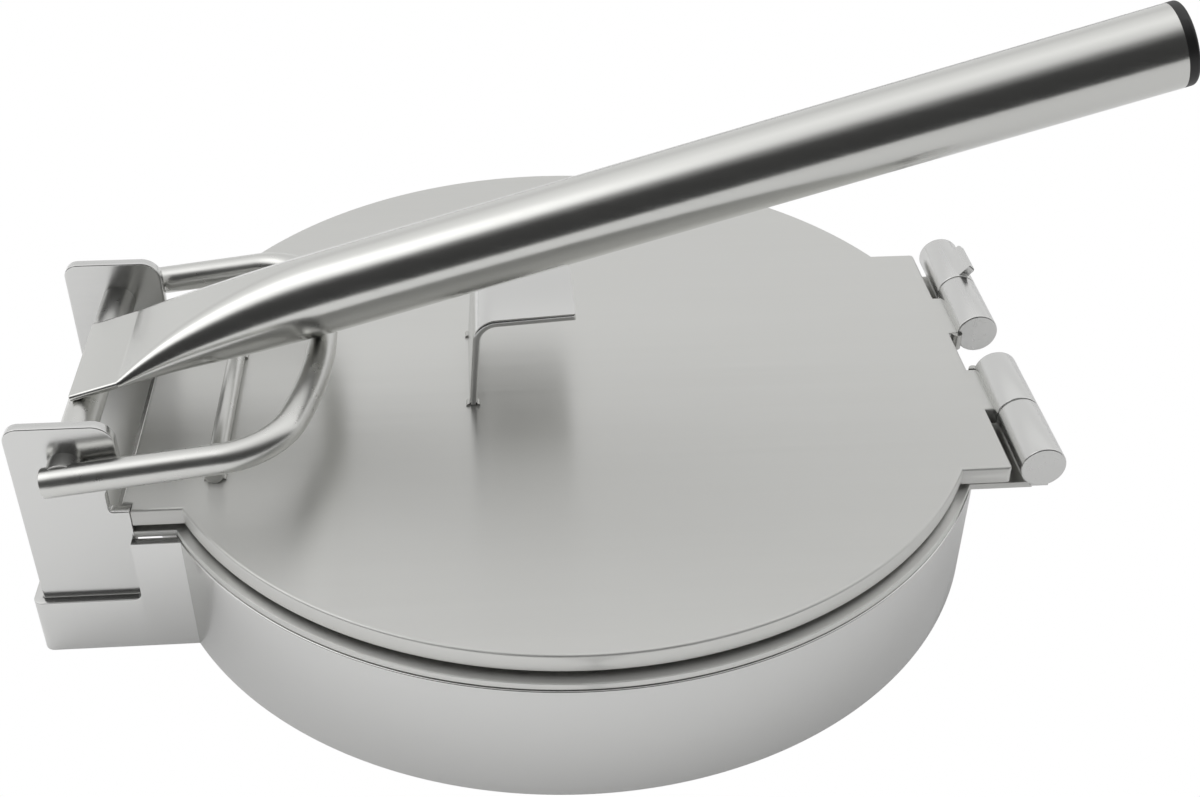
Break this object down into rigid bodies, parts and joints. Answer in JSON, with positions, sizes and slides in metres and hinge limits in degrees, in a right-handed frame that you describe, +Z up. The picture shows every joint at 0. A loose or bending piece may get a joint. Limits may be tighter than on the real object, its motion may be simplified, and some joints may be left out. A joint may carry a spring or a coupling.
{
  "type": "tortilla press",
  "caption": "Stainless steel tortilla press: round drum base, fixed lower plate, hinged upper plate, and a long lever handle that bears on a bracket on it.",
  "frame": {"origin": "centre of the bounding box, at the table", "axes": "+X from the lever's pivot towards the hinges and the handle's end, +Y away from the viewer, +Z up"},
  "size_m": [0.3088, 0.245, 0.1634],
  "materials": {
    "sheet_steel": "brushed sheet",
    "plate_steel": "fine straight brushing",
    "tube_steel": "satin along the tube",
    "rod_steel": "polished rod",
    "hinge_steel": "satin",
    "weld_steel": "polished weld",
    "black_cap": "matte black"
  },
  "bodies": {
    "base": {"base_ring": "sheet_steel", "base_bracket": "sheet_steel", "lower_plate": "plate_steel", "plate_seat_lugs": "sheet_steel", "plate_rest_strip": "sheet_steel", "cheek_near": "sheet_steel", "cheek_far": "sheet_steel", "cheek_weld_beads": "weld_steel", "outer_knuckle_near": "hinge_steel", "outer_knuckle_far": "hinge_steel", "hinge_pin_near": "rod_steel", "hinge_pin_far": "rod_steel", "hinge_stop_block": "hinge_steel"},
    "press_plate": {"upper_plate": "plate_steel", "inner_knuckle_near": "hinge_steel", "inner_knuckle_far": "hinge_steel", "knuckle_weld_beads": "weld_steel", "press_bracket": "sheet_steel", "bracket_weld_beads": "weld_steel", "plate_bar": "rod_steel", "bar_weld_beads": "weld_steel"},
    "lever": {"pivot_rod": "rod_steel", "handle_tube": "tube_steel", "handle_end_cap": "black_cap", "u_bar": "rod_steel", "lever_weld_beads": "weld_steel"}
  },
  "joints": [
    {"name": "lever_pivot", "type": "hinge", "parent": "base", "child": "lever", "pos_m": [-0.13749, -0.0183, 0.0621], "axis": [0, -1, 0], "range_deg": [0, 170]},
    {"name": "plate_hinge", "type": "hinge", "parent": "base", "child": "press_plate", "pos_m": [0.12196, 0, 0.0464], "axis": [0, 1, 0], "range_deg": [0, 25.5]}
  ],
  "couplings": [
    {"joint": "plate_hinge", "follows": "lever_pivot", "ratio": 0.15}
  ]
}
